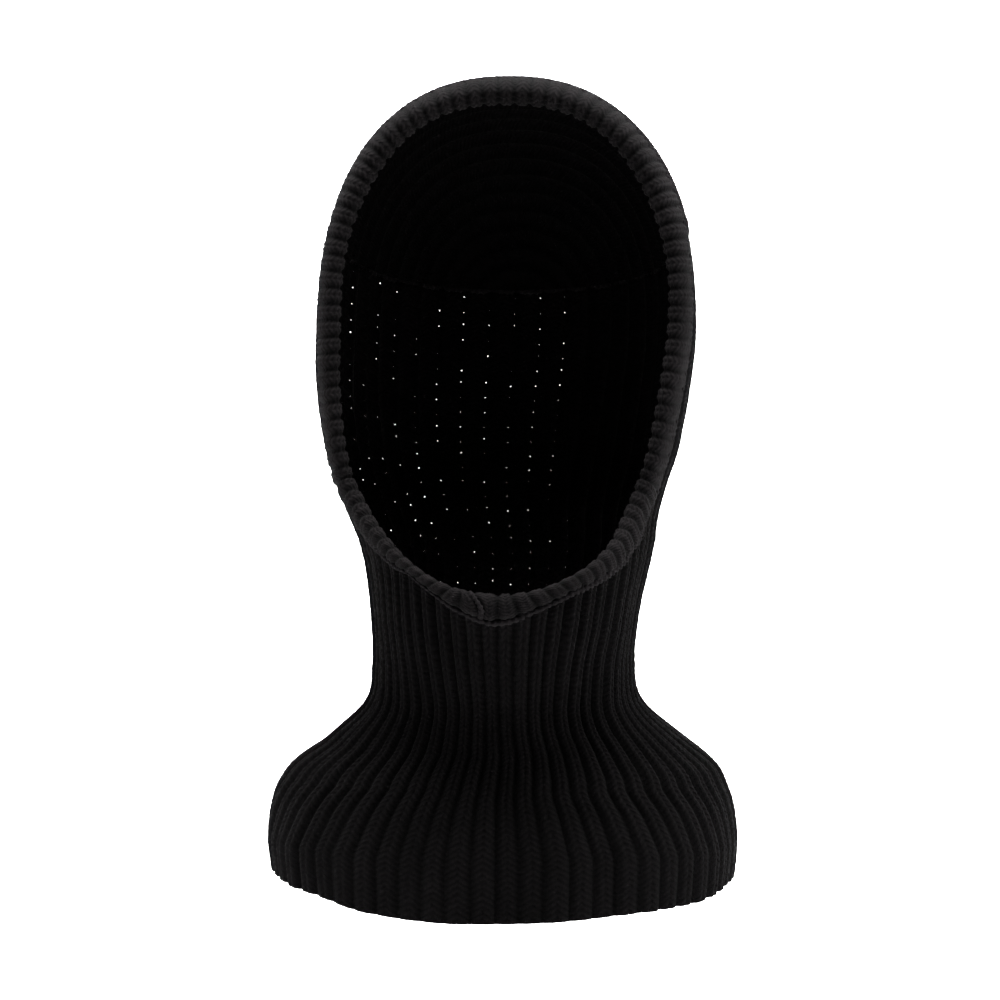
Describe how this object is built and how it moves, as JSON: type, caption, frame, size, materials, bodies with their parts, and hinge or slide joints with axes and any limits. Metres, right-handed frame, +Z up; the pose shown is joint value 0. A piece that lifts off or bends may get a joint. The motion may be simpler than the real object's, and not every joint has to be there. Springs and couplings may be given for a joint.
{
  "type": "balaclava",
  "caption": "Black ribbed wool balaclava with a wide egg-shaped face opening, a folded rib band round it and a flared bib.",
  "frame": {"origin": "where the wearer's crown touches the inside top of the hood", "axes": "+Z up along the wearer, -Y the way the wearer faces, +X the wearer's left, which is a viewer's right"},
  "size_m": [0.2094, 0.196, 0.3675],
  "materials": {
    "rib_knit": "matt, fuzzy wool rib knit, near black",
    "band_knit": "matt, fuzzy wool rib knit, folded double, near black",
    "seam_yarn": "matt twisted wool yarn, near black"
  },
  "bodies": {
    "root": {"front_panel": "rib_knit", "back_panel": "rib_knit", "crown_panel": "rib_knit", "face_band": "band_knit", "side_seam_left": "seam_yarn", "side_seam_right": "seam_yarn", "crown_seam": "seam_yarn", "band_linking_seam": "seam_yarn", "band_join_seam": "seam_yarn"}
  },
  "joints": []
}
